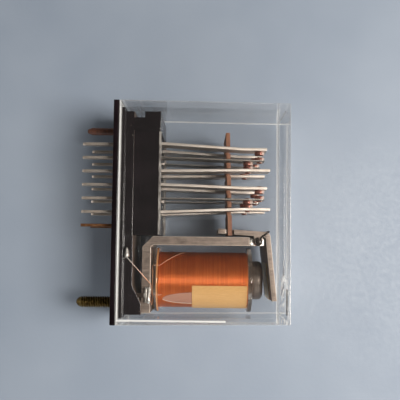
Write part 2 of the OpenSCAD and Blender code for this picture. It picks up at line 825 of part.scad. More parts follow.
module solder_joints() {
    lead_clear = 0.02;
    color("gainsboro") {
        difference() {
            translate([bar_x + bar_t / 2, start_tag_y, start_tag_z - 0.05])
                spindle(1.0, 0.5);
            start_pin_shape(0.01);
            translate(start_route[0]) sphere(r = lead_r + 2 * lead_clear);
            bore_along(start_route[0], start_route[1]);
        }
        difference() {
            translate([
                finish_tag_x - 0.25, finish_bar_y - 0.9, finish_tag_z + finish_tag_t + 0.08])
                spindle(0.7, 0.42);
            finish_pin_shape(0.01);
            translate(finish_route[0]) sphere(r = lead_r + 2 * lead_clear);
            bore_along(finish_route[0], finish_route[1]);
        }
    }
}

// Clearance for a lead's first length
module bore_along(a, b) {
    d = b - a;
    translate(a) rotate([0, acos(d.z / norm(d)), atan2(d.y, d.x)])
        cylinder(h = norm(d), r = lead_r + 0.02);
}

// Edge view of the card's slot for a strip that it must clear over its whole lift
slot_len = 10;
module clear_slot(y, thick) {
    translate([-slot_len / 2, y - thick / 2 - comb_lift - pass_gap])
        square([slot_len, thick + comb_lift + 2 * pass_gap]);
}

// Slot for a blade: its lower edge comes up under the blade at the end of the lift
module drive_slot(y) {
    low = y - blade_t / 2 - comb_lift + blade_lift(comb_x) - closed_gap;
    translate([-slot_len / 2, low]) square([slot_len, y + blade_t / 2 + pass_gap - low]);
}

module comb() {
    half = comb_w / 2;
    slot_z = column_z - spring_w / 2 - 0.3;
    fork_z = comb_w / 2 - 1.6;
    seat_y = pivot_y + arm_top(arm_rise, seat_reach) + closed_gap;
    color("#8a5a3c") difference() {
        slab(half) polygon([
            [comb_x_at(comb_y) - comb_t / 2, comb_y], [comb_x_at(comb_y) + comb_t / 2, comb_y],
            [comb_x_at(comb_end_y) + comb_t / 2, comb_end_y],
            [comb_x_at(comb_end_y) - comb_t / 2, comb_end_y]
        ]);
        both_sides() translate([comb_x, 0, slot_z]) linear_extrude(half) for (set = [0, 1]) {
            clear_slot(strip_y(block_x, root_y(3 * set), make_y(set)), spring_t);
            drive_slot(strip_y(blade_x, root_y(3 * set + 1), blade_y(set)));
            clear_slot(strip_y(block_x, root_y(3 * set + 2), break_y(set)), spring_t);
        }
        span([comb_x - slot_len / 2, comb_y - past, -fork_z],
            [comb_x + slot_len / 2, seat_y, fork_z]);
    }
}

module cover() {
    low = flange_t + fixed_fit;
    half = base_len / 2;
    function half_at(x) = half - (x - flange_t) * tan(draft);
    inner_top = cover_top_x - wall;
    color([0.85, 0.9, 0.95, 0.25]) difference() {
        slab(base_wid / 2) polygon([
            [low, -half_at(low)], [cover_top_x, -half_at(cover_top_x)],
            [cover_top_x, half_at(cover_top_x)], [low, half_at(low)]
        ]);
        slab(cover_in_z) polygon([
            [low - past, wall - half_at(low - past)], [inner_top, wall - half_at(inner_top)],
            [inner_top, half_at(inner_top) - wall], [low - past, half_at(low - past) - wall]
        ]);
    }
}

base();
spring_block();
block_edge_strips();
guide_peg();
fixing_stud();
make_spring(0, false);  // make_spring_a_front
make_spring(0, true);  // make_spring_a_back
make_spring(1, false);  // make_spring_b_front
make_spring(1, true);  // make_spring_b_back
break_spring(0, false);  // break_spring_a_front
break_spring(0, true);  // break_spring_a_back
break_spring(1, false);  // break_spring_b_front
break_spring(1, true);  // break_spring_b_back
blade_pin(0, false);  // blade_pin_a_front
blade_pin(0, true);  // blade_pin_a_back
blade_pin(1, false);  // blade_pin_b_front
blade_pin(1, true);  // blade_pin_b_back
blade(0, false);  // blade_a_front
blade(0, true);  // blade_a_back
blade(1, false);  // blade_b_front
blade(1, true);  // blade_b_back
make_contacts();
break_contacts();
blade_contacts(0, false);  // blade_contacts_a_front
blade_contacts(0, true);  // blade_contacts_a_back
blade_contacts(1, false);  // blade_contacts_b_front
blade_contacts(1, true);  // blade_contacts_b_back
comb();
armature();
armature_shim();
armature_bail();
hinge_pin();
hinge_bearing();
yoke();
core();
bobbin();
winding_bulk();
winding_outer_layer();
coil_label();
coil_pin_start();
coil_pin_finish();
lead_start();
lead_finish();
solder_joints();
cover();
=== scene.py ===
# %% [markdown]
# # A plug-in relay under a clear cover
#
# This lesson dresses a finished construction of a small relay: every piece already has its shape
# and its place, so the work here is surfaces, softened edges and the few pieces whose real detail
# is finer than the construction shows. Lengths are in metres, and MM turns millimetres into them.

# %% Load the relay and keep its box
import json
import math
import bpy
from mathutils import Matrix, Vector, noise

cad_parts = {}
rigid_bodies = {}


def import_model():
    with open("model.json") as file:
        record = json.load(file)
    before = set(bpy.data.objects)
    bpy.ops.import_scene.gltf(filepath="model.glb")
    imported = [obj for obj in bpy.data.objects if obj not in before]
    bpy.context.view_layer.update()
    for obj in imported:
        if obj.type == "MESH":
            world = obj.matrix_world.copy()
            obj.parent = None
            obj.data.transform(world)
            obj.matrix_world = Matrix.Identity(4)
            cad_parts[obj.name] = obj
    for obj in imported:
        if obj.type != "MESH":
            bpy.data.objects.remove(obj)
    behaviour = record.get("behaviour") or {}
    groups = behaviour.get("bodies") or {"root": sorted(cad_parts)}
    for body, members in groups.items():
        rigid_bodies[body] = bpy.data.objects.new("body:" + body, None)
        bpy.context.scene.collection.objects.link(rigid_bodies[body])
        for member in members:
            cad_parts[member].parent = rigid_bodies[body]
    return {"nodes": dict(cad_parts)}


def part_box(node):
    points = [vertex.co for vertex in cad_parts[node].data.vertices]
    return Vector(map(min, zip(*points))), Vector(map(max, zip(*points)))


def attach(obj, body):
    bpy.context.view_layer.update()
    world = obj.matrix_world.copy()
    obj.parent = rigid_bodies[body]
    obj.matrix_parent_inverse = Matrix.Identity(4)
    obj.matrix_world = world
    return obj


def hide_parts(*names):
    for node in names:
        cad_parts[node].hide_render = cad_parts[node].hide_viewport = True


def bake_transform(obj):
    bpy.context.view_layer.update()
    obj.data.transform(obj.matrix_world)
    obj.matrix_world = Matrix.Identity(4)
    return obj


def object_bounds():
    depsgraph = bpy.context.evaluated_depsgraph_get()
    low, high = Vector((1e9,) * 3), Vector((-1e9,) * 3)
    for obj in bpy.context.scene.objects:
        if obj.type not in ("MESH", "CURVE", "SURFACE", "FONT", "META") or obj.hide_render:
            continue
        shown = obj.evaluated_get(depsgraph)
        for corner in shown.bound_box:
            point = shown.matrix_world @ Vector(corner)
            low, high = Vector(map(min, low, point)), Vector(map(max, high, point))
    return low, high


for thing in list(bpy.data.objects):
    bpy.data.objects.remove(thing)
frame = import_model()
nodes = frame["nodes"]
cad_box = [list(corner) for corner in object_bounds()]
MM = 0.001
print("nodes:", len(nodes), "box in mm:", [[round(v / MM, 2) for v in c] for c in cad_box])

# %% [markdown]
# ## Colours and nodes
#
# Colours are easiest to pick as the hex values that a screen shows. Cycles works with linear
# light, so one function turns each hex value into linear values. A second one adds a node with
# its settings and links, whatever its kind. Inputs are given by name, or as a list in their own
# order: for Map Range the pattern, the range it is read over, and the range it becomes.

# %% Colours, nodes and materials
def linear(hex_code):
    """The linear colour of an sRGB hex value such as c0a080."""
    parts = [int(hex_code[i:i + 2], 16) / 255 for i in (0, 2, 4)]
    return (*[p / 12.92 if p <= 0.04045 else ((p + 0.055) / 1.055) ** 2.4 for p in parts], 1.0)


def add(material, kind, inputs=(), out=0, **settings):
    """Adds a node and gives one of its outputs. An input takes a value, or an output to link."""
    tree = material.node_tree
    made = tree.nodes.new("ShaderNode" + kind)
    for name, value in settings.items():
        setattr(made, name, value)
    for socket, value in inputs.items() if isinstance(inputs, dict) else enumerate(inputs):
        if isinstance(value, bpy.types.NodeSocket):
            tree.links.new(value, made.inputs[socket])
        else:
            made.inputs[socket].default_value = value
    return made.outputs[out]


def new_material(name, **values):
    """A material whose shader has these values, such as Metallic=1.0."""
    material = bpy.data.materials.new(name)
    material.use_nodes = True
    shader = material.node_tree.nodes["Principled BSDF"]
    for socket, value in values.items():
        shader.inputs[socket.replace("_", " ")].default_value = value
    return material


def feed(material, **outputs):
    """Links outputs to the shader's sockets, such as Roughness=some_output."""
    shader = material.node_tree.nodes["Principled BSDF"]
    for socket, output in outputs.items():
        material.node_tree.links.new(output, shader.inputs[socket.replace("_", " ")])


print("hex c0a080 is", [round(v, 3) for v in linear("c0a080")], "in linear light")

# %% [markdown]
# ## Patterns
#
# Every pattern reads the Object coordinates: they are in metres too, so a pattern of one
# millimetre is a Scale of 1000. A noise mostly stays near its middle, so it is read from 0.3 to
# 0.7 unless another range is given. On a plain surface one pattern drives colour, gloss and
# relief together, as wear does.

# %% Helpers for patterns
MIDDLE, WHOLE = (0.3, 0.7), (0, 1)


def grain(material, x, y=None, z=None, detail=3.0, rough=0.55):
    """A noise whose patches are about x, y and z millimetres long, or x all ways."""
    stretched = add(material, "Mapping", {
        "Vector": add(material, "TexCoord", out="Object"),
        "Scale": [1 / ((length or x) * MM) for length in (x, y, z)]})
    return add(material, "TexNoise", {
        "Vector": stretched, "Scale": 1.0, "Detail": detail, "Roughness": rough})


def coloured(material, pattern, first, second, spread=MIDDLE):
    """Blends two colours, as hex values or outputs. With no spread the pattern is used as it is."""
    first, second = [linear(c) if isinstance(c, str) else c for c in (first, second)]
    if spread:
        pattern = add(material, "MapRange", (pattern, *spread))
    return add(material, "Mix", {0: pattern, 6: first, 7: second}, 2, data_type="RGBA")


def surface_from(material, pattern, first, second, smooth, rough, relief_mm, spread=MIDDLE):
    """Lets one pattern drive the colour, the gloss and the relief."""
    feed(material,
         Base_Color=coloured(material, pattern, first, second, spread),
         Roughness=add(material, "MapRange", (pattern, *MIDDLE, smooth, rough)),
         Normal=add(material, "Bump", {"Height": pattern, "Distance": relief_mm * MM}))


def specks(material, apart, patch, least, most, spread):
    """1 on small round spots about this many mm apart, which come in patches of this size."""
    centres = add(material, "TexVoronoi", {
        "Vector": add(material, "TexCoord", out="Object"), "Scale": 1 / (apart * MM)})
    size = add(material, "MapRange", (grain(material, patch), *spread, least, most))
    return add(material, "Math", (centres, size), operation="LESS_THAN")


def along_x(material):
    """How far along X a point lies, in metres."""
    return add(material, "SeparateXYZ", [add(material, "TexCoord", out="Object")], "X")


def faces_along(material, axis):
    """How far a face looks along this axis, from -1 to 1."""
    return add(material, "SeparateXYZ", [add(material, "NewGeometry", out="True Normal")], axis)


print("patterns are read over", MIDDLE, "unless told otherwise")

# %% [markdown]
# ## Black phenolic
#
# The base and the spring block are phenolic resin, pressed in a hot mould. That gives a hard,
# nearly black surface with a faint brown tone, a soft gloss from the mould's polish and slow
# waves where the resin shrank. A few pale dust grains lie on it, drawn larger than real dust, so
# that they show. The base's faces that look up, 3.4 to 5.4 mm above the underside, are painted a
# paler brown: painted light for faces that the yoke's leg keeps in shade.

# %% Phenolic for the base and the block
phenolic = new_material("black phenolic, pressed", IOR=1.6)
waves = grain(phenolic, 6)
tone = coloured(phenolic, waves, "0c0608", "180c12")
# Painted light: a paler brown on faces that look up, 3.4 to 5.4 mm above the underside
lit_band_middle, lit_band_reach = 4.4 * MM, 1.0 * MM
on_floor = add(phenolic, "Math", (along_x(phenolic), lit_band_middle, lit_band_reach), operation="COMPARE")
looks_up = add(phenolic, "MapRange", (faces_along(phenolic, "X"), 0.6, 0.9, 0, 0.7))
painted_light_band = add(phenolic, "Math", (on_floor, looks_up), operation="MULTIPLY")
tone = coloured(phenolic, painted_light_band, tone, "8a7364", None)
dust = specks(phenolic, 1.9, 3.1, 0.01, 0.06, (0.45, 0.75))
mould_gloss = add(phenolic, "MapRange", (waves, *MIDDLE, 0.2, 0.27))
lit_band_dulling = add(phenolic, "MapRange", (painted_light_band, *WHOLE, 0, 0.3))
mould_skin = add(phenolic, "Bump", {"Height": grain(phenolic, 0.3), "Distance": 0.001 * MM})
feed(phenolic,
     Base_Color=coloured(phenolic, dust, tone, "a59a8c", None),
     Roughness=add(phenolic, "Math", (mould_gloss, lit_band_dulling), operation="ADD"),
     Normal=add(phenolic, "Bump", {"Height": waves, "Distance": 0.02 * MM, "Normal": mould_skin}))

# The guide peg is the same resin, filled with a brown powder
brown_phenolic = new_material("brown phenolic, pressed", IOR=1.6)
powder = grain(brown_phenolic, 0.4, detail=6)
surface_from(brown_phenolic, powder, "4a2a1e", "7a4a35", 0.42, 0.6, 0.012)
print("phenolic:", phenolic.name, "and", brown_phenolic.name)

# %% [markdown]
# ## Nickel silver
#
# The contact springs and their pins are punched from rolled nickel silver, a pale warm alloy of
# copper, nickel and zinc. Rolling leaves fine lines along the strip, here along X, and years of
# air leave dull patches. The lines are drawn 0.15 mm apart; the real ones are finer. The thin
# blades are a greyer strip of the same family.

# %% Nickel silver for springs, pins and blades
def rolled_strip(name, pale, dull, low_rough, high_rough):
    strip = new_material(name, Metallic=1.0)
    lines = grain(strip, 6, 0.15, 0.15, detail=4)
    patches = grain(strip, 2.6, 1.4, 1.4, detail=4)
    worn = add(strip, "Math", (add(strip, "MapRange", (patches, *MIDDLE, 0, 0.8)),
                               add(strip, "MapRange", (lines, *MIDDLE, 0, 0.3))),
               operation="ADD", use_clamp=True)
    feed(strip,
         Base_Color=coloured(strip, worn, pale, dull, None),
         Roughness=add(strip, "MapRange", (worn, *WHOLE, low_rough, high_rough)),
         Normal=add(strip, "Bump", {"Height": lines, "Distance": 0.004 * MM}))
    return strip


nickel_silver = rolled_strip("nickel silver, rolled", "fbf2e8", "cdbdae", 0.34, 0.5)
blade_strip = rolled_strip("nickel silver, thin rolled", "b9b2a9", "7d766d", 0.28, 0.42)
print("strips:", nickel_silver.name, "and", blade_strip.name)

# %% [markdown]
# ## Contact rivets
#
# Contacts are small rivets, silver-faced copper, headed cold through the strip. Sulphur in the
# air turns them brown to plum: a layer of sulphide, so the shader is only half metal. The side
# that looks along the springs to their free ends, towards the lamps at the right, is painted a
# pale pink highlight, so the paleness follows the normal's X.

# %% Contact metal
rivets = new_material("contact rivet, tarnished silver on copper", Metallic=0.5)
tarnish = grain(rivets, 0.5, 0.35, 0.5, detail=5)
plum = coloured(rivets, tarnish, "6a382e", "a8705f", (0.4, 0.62))
# Painted highlight: pale pink on the side that faces +X, towards the lamps
painted_tip_highlight = add(rivets, "MapRange", (faces_along(rivets, "X"), 0.3, 0.6, 0, 0.9))
feed(rivets,
     Base_Color=coloured(rivets, painted_tip_highlight, plum, "f6dccd", None),
     Roughness=add(rivets, "MapRange", (tarnish, *MIDDLE, 0.45, 0.25)),
     Normal=add(rivets, "Bump", {"Height": tarnish, "Distance": 0.01 * MM}))
print("contacts:", rivets.name)

# %% [markdown]
# ## Hard paper
#
# The comb is punched from hard paper: sheets of paper pressed with resin. Its faces are smooth
# and brown, and the punched edges are rough and paler, with the layers showing as lines. The
# card's thickness lies along X, so the layers are drawn as noise that is thin in X.

# %% Hard paper for the comb
hard_paper = new_material("hard paper, punched", IOR=1.5)
layers = grain(hard_paper, 0.12, 1.2, 1.2, detail=4)
fibres = grain(hard_paper, 0.5, 0.25, 0.9, detail=6)
brown = coloured(hard_paper, layers, "7d4c33", "a87458")
frayed = add(hard_paper, "MapRange", (fibres, 0.5, 0.75, 0, 0.7))
fuzz = add(hard_paper, "Bump", {"Height": fibres, "Distance": 0.01 * MM})
feed(hard_paper,
     Base_Color=coloured(hard_paper, frayed, brown, "c09068", None),
     Roughness=add(hard_paper, "MapRange", (fibres, *MIDDLE, 0.45, 0.7)),
     Normal=add(hard_paper, "Bump", {"Height": layers, "Distance": 0.02 * MM, "Normal": fuzz}))
print("comb:", hard_paper.name)

# %% [markdown]
# ## Magnet iron
#
# Yoke, armature and core are soft magnet iron, annealed and thinly plated. Annealing leaves a
# large, faint grain and a dull grey-brown skin, which scatters a part of the light, so Metallic
# is a little below 1. The punched edges are paler: sheared metal and a painted highlight. A
# bevelled edge is found by its normal, which points along none of the three axes. The core's
# head was turned, so it has none of these, and its fine lines run round its axis, X.

# %% Magnet iron for the yoke, the armature and the core
def combined(material, operation, outputs):
    """Makes one output of several, by the same operation from each to the next."""
    result, *others = outputs
    for other in others:
        result = add(material, "Math", (result, other), operation=operation)
    return result


def squareness(material):
    """1 where a face looks along X, Y or Z, and less on the rounded edges between such faces."""
    facing = add(material, "NewGeometry", out="True Normal")
    sides = add(material, "SeparateXYZ", [
        add(material, "VectorMath", [facing], operation="ABSOLUTE")]).node.outputs
    return combined(material, "MAXIMUM", sides)


def magnet_iron(name, pale, dark, low_rough, high_rough, lines, relief_mm, edges=None):
    iron = new_material(name, Metallic=0.7)
    crystals = grain(iron, 1.6, detail=5, rough=0.65)
    rolling = grain(iron, *lines, detail=3)
    mixed = add(iron, "Math", (crystals, rolling), operation="ADD")
    skin = coloured(iron, mixed, dark, pale, (0.75, 1.25))
    if edges:
        # Paler edges: sheared metal, and a painted highlight on every rounded edge
        shear_and_edge_highlight = add(iron, "MapRange", (squareness(iron), 0.97, 0.99, 1, 0))
        skin = coloured(iron, shear_and_edge_highlight, skin, edges, None)
    pits = add(iron, "Bump", {"Height": crystals, "Distance": relief_mm / 2 * MM})
    feed(iron,
         Base_Color=skin,
         Roughness=add(iron, "MapRange", (crystals, *MIDDLE, low_rough, high_rough)),
         Normal=add(iron, "Bump", {"Height": rolling, "Distance": relief_mm * MM, "Normal": pits}))
    return iron


yoke_iron = magnet_iron("magnet iron, annealed and plated", "a29286", "73665c", 0.4, 0.55,
                        lines=(4, 0.3, 0.3), relief_mm=0.006, edges="cfc2b4")
core_iron = magnet_iron("magnet iron, turned", "8f8175", "5c5048", 0.36, 0.46,
                        lines=(0.15, 6, 6), relief_mm=0.002)
print("iron:", yoke_iron.name, "and", core_iron.name)

# %% [markdown]
# ## Small steel pieces
#
# The bearing bar is plated bright, the hinge pin and the bail are spring steel wire, drawn and
# left dark with oil, and the fixing stud is steel that was bronzed: a thin olive-brown layer of
# oxide, rubbed through to paler metal in patches.

# %% Steel
bright_steel = new_material("bearing steel, plated", Metallic=1.0)
rubbed = grain(bright_steel, 1.5, 0.2, 0.2, detail=4)
surface_from(bright_steel, rubbed, "a9a39a", "ded9d0", 0.2, 0.4, 0.004)

dark_wire = new_material("spring steel wire, drawn and oiled", Metallic=1.0, Coat_Weight=0.4)
drawn = grain(dark_wire, 0.3, 0.3, 2.5, detail=3)
surface_from(dark_wire, drawn, "241f1d", "5a524b", 0.25, 0.5, 0.004)

bronzed = new_material("steel, bronzed", Metallic=1.0)
oxide = grain(bronzed, 0.8, 0.5, 0.5, detail=5)
surface_from(bronzed, oxide, "4a3a22", "8a7748", 0.3, 0.5, 0.008, (0.35, 0.7))
print("steel:", bright_steel.name, "/", dark_wire.name, "/", bronzed.name)

# %% [markdown]
# ## Enamelled copper
#
# The winding is copper wire under a clear orange-brown enamel. Metal below and clear skin above
# is what the Coat of the shader is for. Wire tension differs from turn to turn, so the colour
# changes in thin bands round the coil, which are lines across X. The wire's two ends were scraped
# and tinned by hand, so they are paler, and near the tags almost white.

# %% Enamelled copper for the winding and the leads
enamel = new_material("copper wire, enamelled", Metallic=0.75, Coat_Weight=0.3, Coat_Roughness=0.2)
bands = grain(enamel, 0.35, 40, 40, detail=4, rough=0.7)
orange = coloured(enamel, bands, "dc7031", "fc9446")
blotches = add(enamel, "MapRange", (grain(enamel, 2.5, detail=2), *MIDDLE, 0, 0.3))
feed(enamel,
     Base_Color=coloured(enamel, blotches, orange, "b9541f", None),
     Roughness=add(enamel, "MapRange", (bands, *MIDDLE, 0.32, 0.44)))

lead_copper = new_material("copper wire, scraped", Metallic=0.6, Coat_Weight=0.3)
scraped = grain(lead_copper, 1.1, detail=4)
tinned_end = add(lead_copper, "MapRange", (along_x(lead_copper), 3.0 * MM, 6.0 * MM, 1, 0))
feed(lead_copper,
     Base_Color=coloured(lead_copper, tinned_end, "f0b48e", "f8f2ea", None),
     Roughness=add(lead_copper, "MapRange", (scraped, *MIDDLE, 0.28, 0.45)),
     Normal=add(lead_copper, "Bump", {"Height": scraped, "Distance": 0.004 * MM}))
print("wire:", enamel.name, "and", lead_copper.name)

# %% [markdown]
# ## Label and bobbin
#
# The label is lacquered paper, left bare: fine fibres below a soft gloss. The bobbin is a
# nearly clear moulding with a brown tint, so most of its light goes through. Where the flange
# beside the leads touches the winding, its face is painted creamy orange and lets less through:
# a painted glow for the copper's light caught in the flange. The other flange is nearly clean.
# For shadow rays it is only a fifth as dense, or a clear moulding would throw a solid shadow.

# %% Label paper and bobbin moulding
paper = new_material("label paper, lacquered", IOR=1.48, Coat_Weight=0.35, Coat_Roughness=0.25)
paper_fibres = grain(paper, 0.6, 0.18, 0.18, detail=6)
feed(paper,
     Base_Color=coloured(paper, paper_fibres, "e1aa62", "f1c07b"),
     Roughness=add(paper, "MapRange", (grain(paper, 3, 2, 2), *MIDDLE, 0.4, 0.6)),
     Normal=add(paper, "Bump", {"Height": paper_fibres, "Distance": 0.004 * MM}))

acetate = new_material("cellulose acetate, moulded", IOR=1.48)
shrink = grain(acetate, 2.2)
clear_tint = coloured(acetate, shrink, "b9a797", "d3c5b6")
bulk_start, bulk_end = [corner.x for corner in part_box("winding_bulk")]
half_winding = (bulk_end - bulk_start) / 2
from_middle = add(acetate, "Math", (along_x(acetate), -(bulk_start + bulk_end) / 2), operation="ADD")
from_middle = add(acetate, "Math", [from_middle], operation="ABSOLUTE")
# Painted glow: creamy orange on the flange's face beside the winding, stronger towards the leads
by_winding = add(acetate, "MapRange", (
    from_middle, half_winding + 0.2 * MM, half_winding + 0.42 * MM, 1, 0))
by_leads = add(acetate, "MapRange", (along_x(acetate), bulk_start, bulk_end, 1, 0.15))
painted_copper_glow = add(acetate, "Math", (by_winding, by_leads), operation="MULTIPLY")
shadow_ray = add(acetate, "LightPath", out="Is Shadow Ray")
feed(acetate,
     Base_Color=coloured(acetate, painted_copper_glow, clear_tint, "f2a869", None),
     Transmission_Weight=add(acetate, "MapRange", (painted_copper_glow, *WHOLE, 0.93, 0.25)),
     Roughness=add(acetate, "MapRange", (shrink, *MIDDLE, 0.02, 0.07)),
     Alpha=add(acetate, "MapRange", (shadow_ray, *WHOLE, 1.0, 0.2)),
     Normal=add(acetate, "Bump", {"Height": shrink, "Distance": 0.005 * MM}))
print("label and bobbin:", paper.name, "and", acetate.name)

# %% [markdown]
# ## Tags, solder and the small sheets
#
# Tags are copper, tinned where they are soldered, brown with flux on the bar below the second
# tag, and bare outside, where the coil's pins show coppery. Solder is a bright tin alloy with a
# frosty, uneven skin. The thin plate on the armature is bronze foil, and the strips on the
# block's long edges are vulcanised fibre, whose cut edges show pale lines.

# %% Tags, solder, foil and fibre
tinned = new_material("copper tag, half tinned", Metallic=1.0)
tin = grain(tinned, 0.9, detail=4)
flux_middle, flux_reach = 4.7 * MM, 1.0 * MM
fluxed = add(tinned, "Math", (along_x(tinned), flux_middle, flux_reach), operation="COMPARE")
bare = coloured(tinned, tin, "a9683f", "c99a72")
coated = coloured(tinned, fluxed, coloured(tinned, tin, "c9c2b6", "f0ece4"), "5d4f46", None)
feed(tinned,
     Base_Color=coloured(tinned, along_x(tinned), bare, coated, (1.0 * MM, 2.5 * MM)),
     Roughness=add(tinned, "MapRange", (tin, *MIDDLE, 0.28, 0.45)),
     Normal=add(tinned, "Bump", {"Height": tin, "Distance": 0.006 * MM}))

solder = new_material("tin solder, set", Metallic=1.0)
frost = grain(solder, 0.3, detail=5)
surface_from(solder, frost, "cfcbc2", "f4f1ea", 0.25, 0.5, 0.02)

shim_bronze = new_material("bronze foil, rolled", Metallic=1.0)
foil = grain(shim_bronze, 0.2, 2, 0.2, detail=3)
surface_from(shim_bronze, foil, "b59a62", "dcc592", 0.25, 0.4, 0.003)

edge_fibre = new_material("vulcanised fibre, cut", IOR=1.5)
cut_lines = grain(edge_fibre, 0.3, 1.5, 0.3, detail=5)
surface_from(edge_fibre, cut_lines, "6a6460", "c4beb6", 0.35, 0.6, 0.01, (0.4, 0.62))
print("small pieces:", [m.name for m in (tinned, solder, shim_bronze, edge_fibre)])

# %% [markdown]
# ## Clear polystyrene: painted edges and rim
#
# The cover is injection-moulded polystyrene. Its walls are clear, with hair-fine scratches. Its
# outer edges are painted a dull white, a painted highlight for the light they catch, and so is the
# rim that stands on the base, a painted glow for the light that the walls carry down to it. An
# edge is found by its normal, as on the iron, and the rim by its place along X. Inner edges stay
# clear: the paint reaches 0.4 mm in from the outer faces, and a box worked out from the cover's
# own tells the two apart. The end walls lean in by up to another 0.4 mm.

# %% Painted highlights on the edges and glow on the rim
COVER_IOR = 1.59
clear = new_material("clear polystyrene, moulded", IOR=COVER_IOR)
place = add(clear, "SeparateXYZ", [add(clear, "TexCoord", out="Object")]).node.outputs
cover_low, cover_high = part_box("cover")
outer_depth = lean_in = 0.4 * MM
near_faces = []
for axis, limit in (("X", cover_high.x), ("Y", cover_high.y - lean_in), ("Z", cover_high.z)):
    out = add(clear, "Math", [place[axis]], operation="ABSOLUTE")
    near_faces.append(add(clear, "Math", (out, limit - outer_depth), operation="GREATER_THAN"))
outside = combined(clear, "MAXIMUM", near_faces)
# Painted highlight: the outer edges are painted dull white, strongest towards negative Z
edge_highlight_share = add(clear, "MapRange", (squareness(clear), 0.975, 0.995, 0.95, 0))
most_below = add(clear, "MapRange", (place["Z"], -6 * MM, 6 * MM, 1.0, 0.22))
painted_edge_highlight = combined(clear, "MULTIPLY", (edge_highlight_share, outside, most_below))
# Painted glow: the rim is painted dull white, for the light that the walls carry down to it
rim = add(clear, "MapRange", (place["X"], 1.1 * MM, 1.45 * MM, 0.8, 0))
print("cover box in mm:", [round(v / MM, 2) for v in (*cover_low, *cover_high)])

# %% [markdown]
# ## Clear polystyrene: its marks and painted lines
#
# On the side that the relay mostly lies on, at negative Z, a strip a millimetre and a half high
# at the top is painted white: a painted caustic, for the light that leaves the end wall there.
# The side that looks up has a white line painted near one end wall, a painted reflection, and at
# a corner slanting strokes and a line filled with dirt. Each is a zone with limits in
# millimetres, and the dull share is the strongest of edges, rim, painted lines and marks.

# %% Marks and painted lines on the cover
def zone(*limits):
    """1 where every coordinate lies past its limit in mm, on the side that the sign gives."""
    past = []
    for axis, sign, limit in limits:
        signed = add(clear, "Math", (place[axis], sign), operation="MULTIPLY")
        past.append(add(clear, "Math", (signed, sign * limit * MM), operation="GREATER_THAN"))
    return combined(clear, "MULTIPLY", past)


top_mm, far_mm, side_mm = cover_high.x / MM, cover_low.z / MM, cover_high.z / MM
on_near_side = ("Z", 1, side_mm - 0.05)
# Painted caustic: a dull white strip where light leaves the end wall onto the table
painted_caustic_strip = zone(("X", 1, top_mm - 0.34), ("Z", -1, far_mm + 1.6))
# Painted reflection: a dull white line near the end wall, for the pale room mirrored there
painted_reflection_line = zone(("Y", -1, -18.98), ("Y", 1, -19.3), on_near_side, ("X", -1, 20.3))
dirty_line = zone(("X", 1, top_mm - 0.85), ("X", -1, top_mm - 0.58), ("Y", -1, -13.4),
                  ("Y", 1, -17.9), on_near_side)
slant = add(clear, "Mapping", {
    "Vector": add(clear, "TexCoord", out="Object"), "Rotation": (0, 0, 0.75),
    "Scale": (1 / (0.14 * MM), 1 / (1.1 * MM), 1 / (3 * MM))})
strokes = add(clear, "TexNoise", {"Vector": slant, "Scale": 1.0, "Detail": 2.0})
scored = add(clear, "Math", (
    zone(("X", 1, top_mm - 1.9), ("Y", -1, -11.0), on_near_side),
    add(clear, "MapRange", (strokes, 0.5, 0.62, 0, 0.6))), operation="MULTIPLY")
painted_lines_and_marks = [add(clear, "MapRange", (each_zone, *WHOLE, 0, 0.9))
         for each_zone in (painted_caustic_strip, painted_reflection_line, dirty_line, scored)]
# The dull share holds the painted highlights, glow and lines along with the real marks
haze_and_painted_light = combined(clear, "MAXIMUM", (painted_edge_highlight, rim, *painted_lines_and_marks))
print("marks on the cover:", len(painted_lines_and_marks))

# %% [markdown]
# ## Clear polystyrene: how it meets light
#
# Polystyrene's index, 1.59, is high for a plastic. A flat wall of 1 mm hardly bends light, and a
# lamp is hard to find through a shader that does, so light goes straight on here. Each surface
# is a mirror for the share of light that the Fresnel node gives, plus a thin veil of dull
# haze, and lets the rest straight through: the sum of both shares is Alpha, and the mirror's part
# of that sum is Metallic. The veil adds up along a slanting look, so a Layer Weight makes it
# denser there, on the handled outside alone. Shadow rays lose 7% at each surface, about what a
# slightly dull, clear wall costs the lamps.

# %% The cover's shader
slanting = add(clear, "LayerWeight", {"Blend": 0.5}, "Facing")
densest = add(clear, "Math", (outside, 0.42), operation="MULTIPLY")
veil = add(clear, "MapRange", (slanting, 0.6, 1.0, 0.006, densest))
dull_share = add(clear, "Math", (haze_and_painted_light, veil), operation="MAXIMUM")
# On a back face the Fresnel node reckons with light that leaves the plastic at that slant, and
# mirrors it all. The look goes straight on here, so the inverse index gives both faces one share
back_face = add(clear, "NewGeometry", out="Backfacing")
mirror_share = add(clear, "Fresnel", {"IOR": add(clear, "MapRange", (
    back_face, *WHOLE, COVER_IOR, 1 / COVER_IOR))})
both_shares = add(clear, "Math", (dull_share, mirror_share), operation="ADD", use_clamp=True)
shadow_ray = add(clear, "LightPath", out="Is Shadow Ray")
scratches = grain(clear, 3.5, 0.12, 0.12, detail=2)
scratch_dulling = add(clear, "MapRange", (scratches, 0.62, 0.8, 0.0, 0.05))
dull_share_roughness = add(clear, "MapRange", (haze_and_painted_light, *WHOLE, 0, 0.3))
hairlines = add(clear, "Bump", {"Height": scratches, "Distance": 0.001 * MM})
feed(clear,
     Base_Color=coloured(clear, dirty_line, "f5f5f3", "15130f", None),
     Metallic=add(clear, "Math", (mirror_share, both_shares), operation="DIVIDE", use_clamp=True),
     Roughness=add(clear, "Math", (scratch_dulling, dull_share_roughness), operation="ADD"),
     Alpha=add(clear, "MapRange", (shadow_ray, *WHOLE, both_shares, 0.07)),
     Normal=add(clear, "Bump", {
         "Height": grain(clear, 9, 5, 5), "Distance": 0.012 * MM, "Normal": hairlines}))
# Look and lamp together cross up to eight surfaces, and more with the cover pulled off
bpy.context.scene.cycles.transparent_max_bounces = 32
print("cover:", clear.name, "with index", COVER_IOR)

